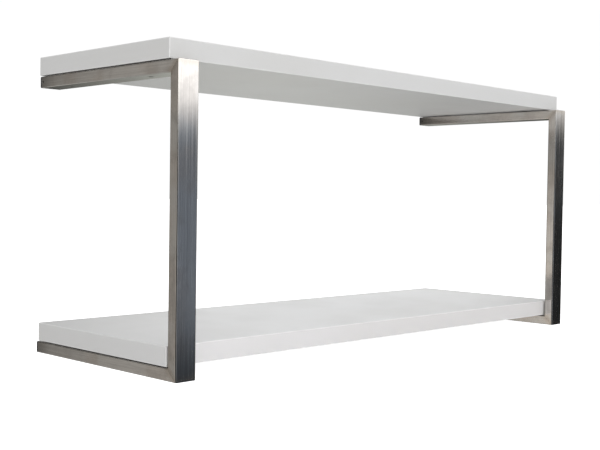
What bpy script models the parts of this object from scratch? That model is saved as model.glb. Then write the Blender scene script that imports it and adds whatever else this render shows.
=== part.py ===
"""Console table: two thick boards carried by two C-shaped frames of rectangular steel tube.

Run it with blender --background --python part.py, or from Blender's text editor. Each frame is a
post at the front with one arm under the top and one arm under the shelf. Units are metres: X runs
along the table, the posts stand at -Y, Z is up, and the origin is on the floor, under the middle.
"""

import math

import bmesh
import bpy
from mathutils import Vector

# Boards
BOARD_LENGTH = 1.400
BOARD_DEPTH = 0.460
BOARD_THICKNESS = 0.040
BOARD_EDGE_RADIUS = 0.0012

# Frames, made from one size of tube with its broad side facing the front
FRAME_HEIGHT = 0.610
TUBE_WIDTH = 0.050
TUBE_DEPTH = 0.025
TUBE_WALL = 0.002
TUBE_CORNER_RADIUS = 0.0035
POST_GAP = 0.003          # between the posts' backs and the boards' front edges
BOARD_LIFT = 0.002        # shadow gap between an arm and the board on it
SHELF_ARM_OVERHANG = 0.007  # the bottom arms end this far behind the shelf
TOP_ARM_SETBACK = 0.002   # the top arms end this far inside the top's back edge

# End caps pressed into the arms' open ends
CAP_FLANGE = 0.005
CAP_EDGE_RADIUS = 0.0012
CAP_PLUG_LENGTH = 0.012
CAP_PLUG_WALL = 0.002
CROSS_HOLE_RADIUS = 0.0025
CROSS_HOLE_INSET = 0.005  # from the steel's end to the centre of the hole for a wall pin

# Fixings: a button-head screw through the arm's inner wall into an insert in the board
SCREW_INSET = 0.090       # from the boards' front and back edges
SCREW_RADIUS = 0.003
SCREW_HEAD_RADIUS = 0.00525
SCREW_HEAD_HEIGHT = 0.0033
SCREW_SOCKET_ACROSS_FLATS = 0.004
SCREW_SOCKET_DEPTH = 0.002
SCREW_ENGAGEMENT = 0.012  # how far the screw reaches past the board's underside
SCREW_HOLE_PLAY = 0.0006  # the hole's radius over the screw's, in the arm and the spacer
ACCESS_HOLE_PLAY = 0.00025  # the hole's radius over the screw head's
INSERT_WALL = 0.002
INSERT_LENGTH = 0.013
INSERT_HOLE_ROOM = 0.002  # past the insert, at the bottom of its hole
SPACER_RIM = 0.0054

CLEARANCE = 0.0003        # between pieces that touch or are pressed together
CUT_REACH = 0.010         # how far a cutter stands out of what it cuts

# Flat sides that stand for a round one; the round count is a multiple of the socket's six
ROUND_SIDES = 24
SOCKET_SIDES = 6
CORNER_STEPS = 4

HALF_LENGTH = BOARD_LENGTH / 2
TOTAL_DEPTH = TUBE_DEPTH + POST_GAP + BOARD_DEPTH + SHELF_ARM_OVERHANG
FRONT_Y = -TOTAL_DEPTH / 2
BOARD_FRONT_Y = FRONT_Y + TUBE_DEPTH + POST_GAP
BOARD_BACK_Y = BOARD_FRONT_Y + BOARD_DEPTH
SCREW_YS = {"front": BOARD_FRONT_Y + SCREW_INSET, "back": BOARD_BACK_Y - SCREW_INSET}
SCREW_LENGTH = TUBE_WALL + BOARD_LIFT + SCREW_ENGAGEMENT
SCREW_HOLE_RADIUS = SCREW_RADIUS + SCREW_HOLE_PLAY
ACCESS_HOLE_RADIUS = SCREW_HEAD_RADIUS + ACCESS_HOLE_PLAY
INSERT_RADIUS = SCREW_RADIUS + CLEARANCE + INSERT_WALL
SPACER_RADIUS = SCREW_HOLE_RADIUS + SPACER_RIM

# For each level: the arms' underside, and where the steel ends at the back
LEVELS = {
    "top": (FRAME_HEIGHT - TUBE_DEPTH, BOARD_BACK_Y - TOP_ARM_SETBACK - CAP_FLANGE - CLEARANCE),
    "shelf": (0.0, BOARD_BACK_Y + SHELF_ARM_OVERHANG - CAP_FLANGE - CLEARANCE),
}
# For each side: the middle of its frame, whose outer faces are flush with the boards' ends
FRAME_XS = {"left": -HALF_LENGTH + TUBE_WIDTH / 2, "right": HALF_LENGTH - TUBE_WIDTH / 2}


def clear_scene():
    for thing in list(bpy.data.objects):
        bpy.data.objects.remove(thing, do_unlink=True)


def make_material(name, colour, roughness, metallic=0.0):
    material = bpy.data.materials.new(name)
    material.use_nodes = True
    shader = material.node_tree.nodes["Principled BSDF"]
    shader.inputs["Base Color"].default_value = (*colour, 1.0)
    shader.inputs["Roughness"].default_value = roughness
    shader.inputs["Metallic"].default_value = metallic
    return material


def make_object(name, mesh, material, location=(0.0, 0.0, 0.0)):
    thing = bpy.data.objects.new(name, mesh)
    bpy.context.scene.collection.objects.link(thing)
    if not mesh.materials:
        mesh.materials.append(material)
    thing.location = location
    return thing


def mesh_from(name, shape, smooth_angle=None):
    """The finished mesh of a bmesh, with its faces turned outwards."""
    bmesh.ops.recalc_face_normals(shape, faces=shape.faces)
    mesh = bpy.data.meshes.new(name)
    shape.to_mesh(mesh)
    shape.free()
    if smooth_angle is not None:
        mesh.shade_smooth()
        mesh.set_sharp_from_angle(angle=smooth_angle)
    return mesh


def corner_outline(width, depth, radius):
    """Points round a rectangle with rounded corners, centred on the origin."""
    points = []
    corners = ((1, 1), (-1, 1), (-1, -1), (1, -1))
    for index, (sign_x, sign_y) in enumerate(corners):
        centre = Vector((sign_x * (width / 2 - radius), sign_y * (depth / 2 - radius)))
        for step in range(CORNER_STEPS + 1):
            angle = math.radians(90) * (index + step / CORNER_STEPS)
            points.append(centre + radius * Vector((math.cos(angle), math.sin(angle))))
    return points


def bridge_outlines(shape, outlines, closed):
    """Joins a row of matching outlines, each a list of points, into a skin.

    An open row gets a flat cap at each end, and a closed one runs round to its start.
    """
    rings = [[shape.verts.new(point) for point in outline] for outline in outlines]
    pairs = list(zip(rings, rings[1:]))
    if closed:
        pairs.append((rings[-1], rings[0]))
    for ring, following in pairs:
        for index in range(len(ring)):
            ahead = (index + 1) % len(ring)
            shape.faces.new((ring[index], ring[ahead], following[ahead], following[index]))
    if not closed:
        shape.faces.new(rings[0])
        shape.faces.new(rings[-1])


def turned_mesh(name, profile, hole_radius=None):
    """A solid turned round Z from (radius, z) points, with an optional bore through it."""
    outline = list(profile)
    if hole_radius is not None:
        outline += [(hole_radius, profile[-1][1]), (hole_radius, profile[0][1])]
    turns = [math.tau * index / ROUND_SIDES for index in range(ROUND_SIDES)]
    rings = [
        [(radius * math.cos(turn), radius * math.sin(turn), z) for turn in turns]
        for radius, z in outline
    ]
    shape = bmesh.new()
    bridge_outlines(shape, rings, closed=hole_radius is not None)
    return mesh_from(name, shape, math.radians(40))


def add_cutter(name, radius, length, location, along="Z"):
    """A hidden round bar, centred on a place, that cuts a hole along an axis."""
    half = length / 2
    mesh = turned_mesh(name, ((radius, -half), (radius, half)))
    cutter = make_object(name, mesh, None, location)
    if along == "X":
        cutter.rotation_euler.y = math.radians(90)
    cutter.hide_render = True
    cutter.display_type = "WIRE"
    return cutter


def cut(thing, cutters):
    for cutter in cutters:
        modifier = thing.modifiers.new(cutter.name, "BOOLEAN")
        modifier.operation = "DIFFERENCE"
        modifier.solver = "EXACT"
        modifier.object = cutter


def mitred_tube_mesh(name, length, mitred_ends):
    """A tube along +Z from its outer corner, with its depth along Y and its broad side at -Y.

    A mitred end is cut at 45 degrees so that the side at +Y is shorter by the tube's depth, and
    stands back by half a clearance from the joint's plane.
    """
    inner = (TUBE_WIDTH - 2 * TUBE_WALL, TUBE_DEPTH - 2 * TUBE_WALL)
    outlines = (
        corner_outline(TUBE_WIDTH, TUBE_DEPTH, TUBE_CORNER_RADIUS),
        corner_outline(*inner, TUBE_CORNER_RADIUS - TUBE_WALL),
    )
    joint_standoff = CLEARANCE / 2 * math.sqrt(2)

    def end_point(point, at_far_end):
        depth_in = point.y + TUBE_DEPTH / 2
        slant = depth_in + joint_standoff if mitred_ends[at_far_end] else 0.0
        return (point.x, depth_in, length - slant if at_far_end else slant)

    outer_ends, inner_ends = (
        [[end_point(point, far) for point in outline] for far in (False, True)]
        for outline in outlines
    )
    shape = bmesh.new()
    bridge_outlines(shape, (*outer_ends, *reversed(inner_ends)), closed=True)
    return mesh_from(name, shape, math.radians(30))


def add_post(side, steel):
    mesh = mitred_tube_mesh(f"{side}_post", FRAME_HEIGHT, (True, True))
    return make_object(f"{side}_post", mesh, steel, (FRAME_XS[side], FRONT_Y, 0.0))


def add_arm(side, level, steel):
    """An arm from its mitre at the front to its open end at the back, with its holes."""
    middle_x = FRAME_XS[side]
    underside, back_y = LEVELS[level]
    name = f"{side}_{level}_arm"
    mesh = mitred_tube_mesh(name, back_y - FRONT_Y, (True, False))
    arm = make_object(name, mesh, steel)
    # The mesh runs up +Z with its outer side at -Y: it is laid along +Y with that side
    # facing up on the top arm, and facing down on the shelf arm.
    if level == "top":
        arm.rotation_euler = (math.radians(-90), 0.0, 0.0)
        arm.location = (middle_x, FRONT_Y, underside + TUBE_DEPTH)
    else:
        arm.rotation_euler = (math.radians(-90), math.radians(180), 0.0)
        arm.location = (middle_x, FRONT_Y, underside)

    cutters = []
    for end, screw_y in SCREW_YS.items():
        bearing_z = underside + TUBE_DEPTH - TUBE_WALL
        cutters.append(add_cutter(
            f"cut_{name}_{end}_screw", SCREW_HOLE_RADIUS, 2 * TUBE_WALL + CUT_REACH,
            (middle_x, screw_y, bearing_z + TUBE_WALL / 2),
        ))
        cutters.append(add_cutter(
            f"cut_{name}_{end}_access", ACCESS_HOLE_RADIUS, 2 * TUBE_WALL + CUT_REACH,
            (middle_x, screw_y, underside + TUBE_WALL / 2),
        ))
    if level == "top":
        cutters.append(add_cross_hole_cutter(side, f"cut_{name}_cross"))
    cut(arm, cutters)
    return arm


def add_cross_hole_cutter(side, name):
    """The hole for a wall pin, across a top arm close to its open end."""
    underside, back_y = LEVELS["top"]
    place = (FRAME_XS[side], back_y - CROSS_HOLE_INSET, underside + TUBE_DEPTH / 2)
    return add_cutter(name, CROSS_HOLE_RADIUS, TUBE_WIDTH + CUT_REACH, place, along="X")


def add_end_cap(side, level, plastic):
    """A flange the size of the tube, with a hollow plug behind it that fills the bore."""
    underside, back_y = LEVELS[level]
    name = f"{side}_{level}_end_cap"
    flange_y = back_y + CLEARANCE
    lost = 2 * (TUBE_WALL + CLEARANCE)
    plug = (TUBE_WIDTH - lost, TUBE_DEPTH - lost)
    plug_radius = TUBE_CORNER_RADIUS - TUBE_WALL
    hollow = tuple(size - 2 * CAP_PLUG_WALL for size in plug)

    def ring(size, radius, y):
        outline = corner_outline(*size, radius)
        return [(point.x, y, point.y) for point in outline]

    tube = (TUBE_WIDTH, TUBE_DEPTH)
    eased = tuple(size - 2 * CAP_EDGE_RADIUS for size in tube)
    plug_end = -CAP_PLUG_LENGTH - CLEARANCE
    shape = bmesh.new()
    bridge_outlines(shape, (
        ring(hollow, plug_radius / 2, 0.0),
        ring(hollow, plug_radius / 2, plug_end),
        ring(plug, plug_radius, plug_end),
        ring(plug, plug_radius, 0.0),
        ring(tube, TUBE_CORNER_RADIUS, 0.0),
        ring(tube, TUBE_CORNER_RADIUS, CAP_FLANGE - CAP_EDGE_RADIUS),
        ring(eased, TUBE_CORNER_RADIUS - CAP_EDGE_RADIUS / 2, CAP_FLANGE),
    ), closed=False)
    place = (FRAME_XS[side], flange_y, underside + TUBE_DEPTH / 2)
    cap = make_object(name, mesh_from(name, shape), plastic, place)
    if level == "top":
        cut(cap, [add_cross_hole_cutter(side, f"cut_{name}_cross")])
    return cap


def board_underside(level):
    underside, _ = LEVELS[level]
    return underside + TUBE_DEPTH + BOARD_LIFT


def add_board(name, level, lacquer):
    """A slab with eased edges and a blind hole in its underside for each insert."""
    shape = bmesh.new()
    bmesh.ops.create_cube(shape, size=1.0)
    bmesh.ops.scale(shape, vec=(BOARD_LENGTH, BOARD_DEPTH, BOARD_THICKNESS), verts=shape.verts)
    bmesh.ops.bevel(
        shape, geom=shape.edges, offset=BOARD_EDGE_RADIUS, offset_type="OFFSET",
        segments=2, profile=0.5, affect="EDGES",
    )
    low = board_underside(level)
    middle = (0.0, BOARD_FRONT_Y + BOARD_DEPTH / 2, low + BOARD_THICKNESS / 2)
    board = make_object(name, mesh_from(name, shape, math.radians(60)), lacquer, middle)

    hole_depth = INSERT_LENGTH + CLEARANCE + INSERT_HOLE_ROOM
    cutters = []
    for side, screw_x in FRAME_XS.items():
        for end, screw_y in SCREW_YS.items():
            # The bar reaches down out of the underside, so its middle lies below the hole's.
            centre_z = low + (hole_depth - CUT_REACH) / 2
            cutters.append(add_cutter(
                f"cut_{name}_{side}_{end}", INSERT_RADIUS + CLEARANCE, hole_depth + CUT_REACH,
                (screw_x, screw_y, centre_z),
            ))
    cut(board, cutters)
    return board


def insert_mesh():
    """A threaded insert as a plain bush, standing on its lower face."""
    profile = ((INSERT_RADIUS, 0.0), (INSERT_RADIUS, INSERT_LENGTH))
    return turned_mesh("threaded_insert", profile, SCREW_RADIUS + CLEARANCE)


def spacer_mesh():
    thickness = BOARD_LIFT - 2 * CLEARANCE
    profile = ((SPACER_RADIUS, 0.0), (SPACER_RADIUS, thickness))
    return turned_mesh("spacer_washer", profile, SCREW_HOLE_RADIUS)


def screw_mesh():
    """A button-head screw pointing up, with the underside of its head at z = 0."""
    socket_radius = SCREW_SOCKET_ACROSS_FLATS / 2 / math.cos(math.pi / SOCKET_SIDES)
    dome = [
        (SCREW_HEAD_RADIUS * math.cos(angle), -SCREW_HEAD_HEIGHT * math.sin(angle))
        for angle in (0.0, math.radians(25), math.radians(48))
    ]
    crown = (socket_radius + (dome[-1][0] - socket_radius) / 2, -SCREW_HEAD_HEIGHT)
    socket_top = SCREW_SOCKET_DEPTH - SCREW_HEAD_HEIGHT
    shape = bmesh.new()

    def ring(radius, z, sides=ROUND_SIDES):
        """A ring of points, moved in to the flats where it has only a few sides."""
        turns = (math.tau * index / ROUND_SIDES for index in range(ROUND_SIDES))
        sector = math.tau / sides
        points = []
        for turn in turns:
            off_flat = turn % sector - sector / 2
            reach = radius * math.cos(sector / 2) / math.cos(off_flat)
            points.append((reach * math.cos(turn), reach * math.sin(turn), z))
        return points

    bridge_outlines(shape, (
        ring(SCREW_RADIUS, SCREW_LENGTH),
        ring(SCREW_RADIUS, 0.0),
        *(ring(radius, z) for radius, z in dome),
        ring(*crown),
        ring(socket_radius, -SCREW_HEAD_HEIGHT, sides=SOCKET_SIDES),
        ring(socket_radius, socket_top, sides=SOCKET_SIDES),
    ), closed=False)
    return mesh_from("board_screw", shape, math.radians(40))


def add_fixings(steel, brass, rubber):
    """A screw, an insert and a spacer at each end of each arm."""
    screw = screw_mesh()
    insert = insert_mesh()
    spacer = spacer_mesh()
    for level in LEVELS:
        underside, _ = LEVELS[level]
        arm_top = underside + TUBE_DEPTH
        head_z = arm_top - TUBE_WALL - CLEARANCE
        for side, screw_x in FRAME_XS.items():
            for end, screw_y in SCREW_YS.items():
                place = f"{side}_{level}_{end}"
                make_object(f"{place}_screw", screw, steel, (screw_x, screw_y, head_z))
                spacer_z = arm_top + CLEARANCE
                make_object(f"{place}_spacer", spacer, rubber, (screw_x, screw_y, spacer_z))
                insert_z = board_underside(level) + CLEARANCE
                make_object(f"{place}_insert", insert, brass, (screw_x, screw_y, insert_z))


def build():
    clear_scene()
    lacquer = make_material("white_lacquer", (0.80, 0.80, 0.79), 0.35)
    brushed = make_material("brushed_stainless", (0.58, 0.56, 0.53), 0.30, metallic=1.0)
    plastic = make_material("black_plastic", (0.03, 0.03, 0.03), 0.50)
    fixing_steel = make_material("fixing_steel", (0.52, 0.52, 0.53), 0.35, metallic=1.0)
    brass = make_material("brass_insert", (0.72, 0.56, 0.30), 0.40, metallic=1.0)
    rubber = make_material("black_rubber", (0.03, 0.03, 0.03), 0.80)

    add_board("top_board", "top", lacquer)
    add_board("shelf_board", "shelf", lacquer)
    for side in FRAME_XS:
        add_post(side, brushed)
        for level in LEVELS:
            add_arm(side, level, brushed)
            add_end_cap(side, level, plastic)
    add_fixings(fixing_steel, brass, rubber)


build()
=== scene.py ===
"""Looks for a console table: two lacquered boards on two C-shaped frames of brushed steel tube.

Laid out as an add-on and run as a script. Each operator makes one group of like pieces round the
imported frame, and the last one sets the studio. Units are metres: X runs along the table, the posts
stand at -Y, and Z is up.
"""

import math

import bmesh
import bpy
from bpy.props import FloatProperty, FloatVectorProperty, IntProperty, PointerProperty
from mathutils import Matrix, Vector


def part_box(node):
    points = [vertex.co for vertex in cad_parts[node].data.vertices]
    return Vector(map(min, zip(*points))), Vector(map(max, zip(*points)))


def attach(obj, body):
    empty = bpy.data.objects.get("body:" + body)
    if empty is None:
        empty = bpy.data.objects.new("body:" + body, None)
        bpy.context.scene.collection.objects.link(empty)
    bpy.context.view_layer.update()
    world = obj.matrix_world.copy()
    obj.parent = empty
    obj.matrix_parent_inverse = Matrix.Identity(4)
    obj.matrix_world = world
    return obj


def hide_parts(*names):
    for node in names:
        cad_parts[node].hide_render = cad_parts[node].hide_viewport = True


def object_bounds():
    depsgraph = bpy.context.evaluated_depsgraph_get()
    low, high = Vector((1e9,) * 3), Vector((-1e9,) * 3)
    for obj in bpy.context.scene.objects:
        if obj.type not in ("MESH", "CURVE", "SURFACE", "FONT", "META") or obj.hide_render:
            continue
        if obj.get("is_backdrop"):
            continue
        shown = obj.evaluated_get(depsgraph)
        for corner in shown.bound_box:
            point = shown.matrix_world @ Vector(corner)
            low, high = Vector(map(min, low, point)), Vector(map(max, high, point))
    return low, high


bl_info = {
    "name": "Console Table Maker",
    "version": (1, 0, 0),
    "blender": (4, 5, 0),
    "location": "3D View > Sidebar > Table",
    "description": "Makes the boards, steel frames, end caps and fixings of a console table",
    "category": "Object",
}

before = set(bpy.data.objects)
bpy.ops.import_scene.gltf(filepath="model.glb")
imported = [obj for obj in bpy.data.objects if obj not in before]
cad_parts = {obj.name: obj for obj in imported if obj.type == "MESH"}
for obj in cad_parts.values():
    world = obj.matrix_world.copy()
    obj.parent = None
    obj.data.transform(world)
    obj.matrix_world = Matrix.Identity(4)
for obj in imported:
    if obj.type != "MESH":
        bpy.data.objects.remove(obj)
CAD_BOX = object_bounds()
BODY = "root"

SIDES = ("left", "right")
LEVELS = ("top", "shelf")
ENDS = ("front", "back")

# Places that every piece shares, read from the frame
POST_LOW, POST_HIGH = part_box("left_post")
FRONT_Y = POST_LOW.y
FRAME_HEIGHT = POST_HIGH.z
TUBE_WIDTH = POST_HIGH.x - POST_LOW.x
TUBE_DEPTH = POST_HIGH.y - POST_LOW.y
PIECE_GAP = 0.0003

# The cross hole through the rear end of a top arm and its cap
CROSS_HOLE_RADIUS = 0.0025
CROSS_HOLE_INSET = 0.005

# How finely holes are cut, and the size below which a cut leaves only slivers
HOLE_STEPS = 40
INSERT_HOLE_STEPS = 48
SLIVER = 0.00001

# Sharpest bends, in degrees, that are still shaded smooth
SMOOTH_ANGLE = 35.0
TUBE_SMOOTH_ANGLE = 30.0
FIXING_SMOOTH_ANGLE = 32.0

WHITE = (1.0, 1.0, 1.0)


def middle_of(node):
    low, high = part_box(node)
    return (low + high) / 2


def size_of(node):
    low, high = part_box(node)
    return high - low


# ---------------------------------------------------------------------------------------------
# Settings
# ---------------------------------------------------------------------------------------------

class BoardSettings(bpy.types.PropertyGroup):
    """The two lacquered boards."""

    edge_radius: FloatProperty(
        name="Edge Radius", description="How far the boards' edges are eased",
        default=0.0014, min=0.0002, max=0.005, unit="LENGTH", subtype="DISTANCE")
    edge_steps: IntProperty(
        name="Edge Steps", description="Facets across an eased edge", default=4, min=1, max=12)
    hole_chamfer: FloatProperty(
        name="Hole Chamfer", description="Countersink at the mouth of each insert's hole",
        default=0.0005, min=0.0, max=0.002, unit="LENGTH", subtype="DISTANCE")
    lacquer: FloatVectorProperty(
        name="Lacquer", description="Colour of the satin lacquer",
        default=(0.80, 0.80, 0.795), size=3, min=0.0, max=1.0, subtype="COLOR")
    lacquer_warm: FloatVectorProperty(
        name="Lacquer Drift", description="Colour that the lacquer drifts towards in broad patches",
        default=(0.775, 0.772, 0.760), size=3, min=0.0, max=1.0, subtype="COLOR")
    peel_width: FloatProperty(
        name="Orange Peel Width", description="Distance between the ripples of the sprayed film",
        default=0.0028, min=0.0005, max=0.02, unit="LENGTH", subtype="DISTANCE")


class TubeSettings(bpy.types.PropertyGroup):
    """The posts and arms, all of one rectangular tube."""

    wall: FloatProperty(
        name="Wall", description="Thickness of the tube's wall",
        default=0.002, min=0.0005, max=0.005, unit="LENGTH", subtype="DISTANCE")
    corner_radius: FloatProperty(
        name="Corner Radius", description="Outer radius of the tube's long corners",
        default=0.0030, min=0.0005, max=0.008, unit="LENGTH", subtype="DISTANCE")
    corner_steps: IntProperty(
        name="Corner Steps", description="Facets across a corner", default=7, min=2, max=16)
    seam_width: FloatProperty(
        name="Mitre Seam", description="Width of the hairline left between the mitred ends",
        default=0.00006, min=0.0, max=0.0003, unit="LENGTH", subtype="DISTANCE")
    deburr: FloatProperty(
        name="Deburr", description="Chamfer on sawn ends and at the holes",
        default=0.00025, min=0.0, max=0.001, unit="LENGTH", subtype="DISTANCE")
    steel_light: FloatVectorProperty(
        name="Steel", description="Colour of the polished crests of the brushed grain",
        default=(0.73, 0.71, 0.685), size=3, min=0.0, max=1.0, subtype="COLOR")
    steel_dark: FloatVectorProperty(
        name="Steel Grain", description="Colour in the valleys of the brushed grain",
        default=(0.50, 0.485, 0.465), size=3, min=0.0, max=1.0, subtype="COLOR")
    steel_drift: FloatVectorProperty(
        name="Steel Drift", description="Tone that the steel drifts towards in broad patches",
        default=(1.0, 0.962, 0.935), size=3, min=0.0, max=1.0, subtype="COLOR")
    heat_tint: FloatVectorProperty(
        name="Heat Tint", description="Straw colour left by welding at the frames' corners",
        default=(0.52, 0.44, 0.36), size=3, min=0.0, max=1.0, subtype="COLOR")
    weld_reach: FloatProperty(
        name="Weld Reach", description="How far the weld's dressing and tint reach from the mitre",
        default=0.016, min=0.001, max=0.05, unit="LENGTH", subtype="DISTANCE")
    # Reach of the painted shade that darkens the steel at an arm's sawn end
    end_shade: FloatProperty(
        name="End Shade", description="How far the darker tone reaches from an arm's sawn end",
        default=0.060, min=0.001, max=0.2, unit="LENGTH", subtype="DISTANCE")


class CapSettings(bpy.types.PropertyGroup):
    """The plastic caps in the arms' open ends."""

    edge_radius: FloatProperty(
        name="Edge Radius", description="Rounding of the flange's outer edge",
        default=0.0014, min=0.0002, max=0.003, unit="LENGTH", subtype="DISTANCE")
    edge_steps: IntProperty(
        name="Edge Steps", description="Facets across the flange's edge", default=5, min=1, max=12)
    plug_wall: FloatProperty(
        name="Plug Wall", description="Thickness of the plug's wall",
        default=0.002, min=0.0005, max=0.004, unit="LENGTH", subtype="DISTANCE")
    rib_count: IntProperty(
        name="Ribs", description="Grip ribs round the plug", default=4, min=0, max=10)
    plastic: FloatVectorProperty(
        name="Plastic", description="Colour of the caps",
        default=(0.028, 0.028, 0.029), size=3, min=0.0, max=1.0, subtype="COLOR")


class FixingSettings(bpy.types.PropertyGroup):
    """The screws, threaded inserts and spacer washers."""

    thread_pitch: FloatProperty(
        name="Thread Pitch", description="Rise of the screw's thread in one turn",
        default=0.001, min=0.0005, max=0.002, unit="LENGTH", subtype="DISTANCE")
    thread_depth: FloatProperty(
        name="Thread Depth", description="Depth of the screw's thread",
        default=0.00055, min=0.0001, max=0.001, unit="LENGTH", subtype="DISTANCE")
    socket_width: FloatProperty(
        name="Socket", description="Distance across the flats of the hexagon socket",
        default=0.004, min=0.002, max=0.006, unit="LENGTH", subtype="DISTANCE")
    socket_depth: FloatProperty(
        name="Socket Depth", description="Depth of the hexagon socket",
        default=0.002, min=0.0005, max=0.003, unit="LENGTH", subtype="DISTANCE")
    round_steps: IntProperty(
        name="Round Steps", description="Facets round a screw, insert or washer",
        default=48, min=24, max=96)
    knurl_count: IntProperty(
        name="Knurls", description="Teeth round a threaded insert", default=24, min=8, max=48)
    zinc: FloatVectorProperty(
        name="Screw Steel", description="Colour of the screws",
        default=(0.56, 0.56, 0.57), size=3, min=0.0, max=1.0, subtype="COLOR")
    brass: FloatVectorProperty(
        name="Brass", description="Colour of the inserts",
        default=(0.71, 0.55, 0.29), size=3, min=0.0, max=1.0, subtype="COLOR")
    rubber: FloatVectorProperty(
        name="Rubber", description="Colour of the spacer washers",
        default=(0.022, 0.022, 0.023), size=3, min=0.0, max=1.0, subtype="COLOR")


class StudioSettings(bpy.types.PropertyGroup):
    """The camera, the floor and the light."""

    camera_place: FloatVectorProperty(
        name="Camera Place", description="Where the camera stands",
        default=(-1.8682, -1.7243, 0.3550), size=3, subtype="TRANSLATION", unit="LENGTH")
    camera_turn: FloatProperty(
        name="Camera Turn", description="Heading of the camera, from +Y towards +X",
        default=math.radians(45.368), subtype="ANGLE", unit="ROTATION")
    camera_tilt: FloatProperty(
        name="Camera Tilt", description="How far the camera looks up",
        default=math.radians(-1.64), subtype="ANGLE", unit="ROTATION")
    camera_roll: FloatProperty(
        name="Camera Roll", description="Turn of the camera about its line of sight",
        default=math.radians(0.841), subtype="ANGLE", unit="ROTATION")
    lens: FloatProperty(
        name="Lens", description="Focal length in millimetres on a 36 mm frame",
        default=60.0, min=20.0, max=200.0)
    fill: FloatProperty(
        name="Fill", description="Strength of the even light from all round",
        default=0.62, min=0.0, max=5.0)


class TableSettings(bpy.types.PropertyGroup):
    """All settings of the table, in one group for each kind of piece."""

    boards: PointerProperty(type=BoardSettings)
    tubes: PointerProperty(type=TubeSettings)
    caps: PointerProperty(type=CapSettings)
    fixings: PointerProperty(type=FixingSettings)
    studio: PointerProperty(type=StudioSettings)


# ---------------------------------------------------------------------------------------------
# Mesh work
# ---------------------------------------------------------------------------------------------

def rounded_rectangle(width, depth, radius, steps):
    """Points round a rectangle with rounded corners, centred on the origin."""
    points = []
    corners = ((1, 1), (-1, 1), (-1, -1), (1, -1))
    for index, (sign_x, sign_y) in enumerate(corners):
        centre = Vector((sign_x * (width / 2 - radius), sign_y * (depth / 2 - radius)))
        for step in range(steps + 1):
            angle = math.radians(90) * (index + step / steps)
            points.append(centre + radius * Vector((math.cos(angle), math.sin(angle))))
    return points


def loft(shape, rings, closed):
    """Skins a row of matching rings; an open row gets a cap at each end."""
    rows = [[shape.verts.new(point) for point in ring] for ring in rings]
    pairs = list(zip(rows, rows[1:]))
    if closed:
        pairs.append((rows[-1], rows[0]))
    for row, following in pairs:
        for index in range(len(row)):
            ahead = (index + 1) % len(row)
            shape.faces.new((row[index], row[ahead], following[ahead], following[index]))
    if not closed:
        shape.faces.new(rows[0])
        shape.faces.new(rows[-1])


def turned(profile, steps, closed=False, squeeze=None):
    """A solid turned round Z from (radius, z) points. Squeeze may change a radius by its angle."""
    turns = [math.tau * index / steps for index in range(steps)]
    rings = []
    for radius, height in profile:
        ring = []
        for turn in turns:
            reach = squeeze(radius, height, turn) if squeeze else radius
            ring.append((reach * math.cos(turn), reach * math.sin(turn), height))
        rings.append(ring)
    shape = bmesh.new()
    loft(shape, rings, closed)
    return shape


def lay_along_x(shape):
    """Turns a shape that stands along Z so that it lies along X."""
    turn = Matrix.Rotation(math.radians(90), 3, "Y")
    bmesh.ops.rotate(shape, cent=(0, 0, 0), matrix=turn, verts=shape.verts)


def mesh_of(name, shape, smooth_angle=SMOOTH_ANGLE):
    """The finished mesh of a bmesh: faces outwards, smooth but for its sharp edges."""
    bmesh.ops.recalc_face_normals(shape, faces=shape.faces)
    mesh = bpy.data.meshes.new(name)
    shape.to_mesh(mesh)
    shape.free()
    mesh.shade_smooth()
    mesh.set_sharp_from_angle(angle=math.radians(smooth_angle))
    return mesh


def new_object(name, mesh):
    thing = bpy.data.objects.new(name, mesh)
    bpy.context.scene.collection.objects.link(thing)
    return thing


def evaluated_mesh(thing, name):
    """A plain mesh of the object with its modifiers applied."""
    graph = bpy.context.evaluated_depsgraph_get()
    mesh = bpy.data.meshes.new_from_object(thing.evaluated_get(graph))
    mesh.name = name
    return mesh


def cut_holes(name, mesh, cutters, smooth_angle=SMOOTH_ANGLE):
    """The mesh less its cutters, each a bmesh in its place."""
    thing = new_object(f"{name}_blank", mesh)
    tools = []
    for index, cutter in enumerate(cutters):
        tool = new_object(f"{name}_cutter_{index}", mesh_of(f"{name}_cutter_{index}", cutter))
        modifier = thing.modifiers.new(tool.name, "BOOLEAN")
        modifier.operation = "DIFFERENCE"
        modifier.solver = "EXACT"
        modifier.object = tool
        tools.append(tool)
    result = evaluated_mesh(thing, name)
    for spare in (thing, *tools):
        bpy.data.objects.remove(spare)
    # A cutter's rim that lies in a face leaves slivers there, far finer than the shape.
    shape = bmesh.new()
    shape.from_mesh(result)
    bmesh.ops.remove_doubles(shape, verts=shape.verts, dist=SLIVER)
    bmesh.ops.dissolve_degenerate(shape, edges=shape.edges, dist=SLIVER)
    shape.to_mesh(result)
    shape.free()
    result.shade_smooth()
    result.set_sharp_from_angle(angle=math.radians(smooth_angle))
    return result


def put(name, mesh, material, nodes):
    """Puts a finished piece on the table's body in the place of its CAD nodes."""
    mesh.materials.clear()
    mesh.materials.append(material)
    piece = new_object(name, mesh)
    normals = piece.modifiers.new("weighted_normals", "WEIGHTED_NORMAL")
    normals.keep_sharp = True
    normals.weight = 100
    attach(piece, BODY)
    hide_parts(*nodes)
    return piece


# ---------------------------------------------------------------------------------------------
# Shader work
# ---------------------------------------------------------------------------------------------

def add_node(tree, kind, inputs=None, **settings):
    """A node with its settings made and its inputs linked or given a value."""
    node = tree.nodes.new(kind)
    for key, value in settings.items():
        setattr(node, key, value)
    for key, value in (inputs or {}).items():
        feed(tree, node, key, value)
    return node


def feed(tree, node, key, value):
    """Links a socket to a node's input, or sets the input to a plain value."""
    if isinstance(value, bpy.types.NodeSocket):
        tree.links.new(value, node.inputs[key])
    else:
        node.inputs[key].default_value = value


def maths(tree, operation, first, second=0.0):
    """One step of arithmetic on sockets or numbers."""
    node = add_node(tree, "ShaderNodeMath", {0: first, 1: second}, operation=operation)
    return node.outputs[0]


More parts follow.
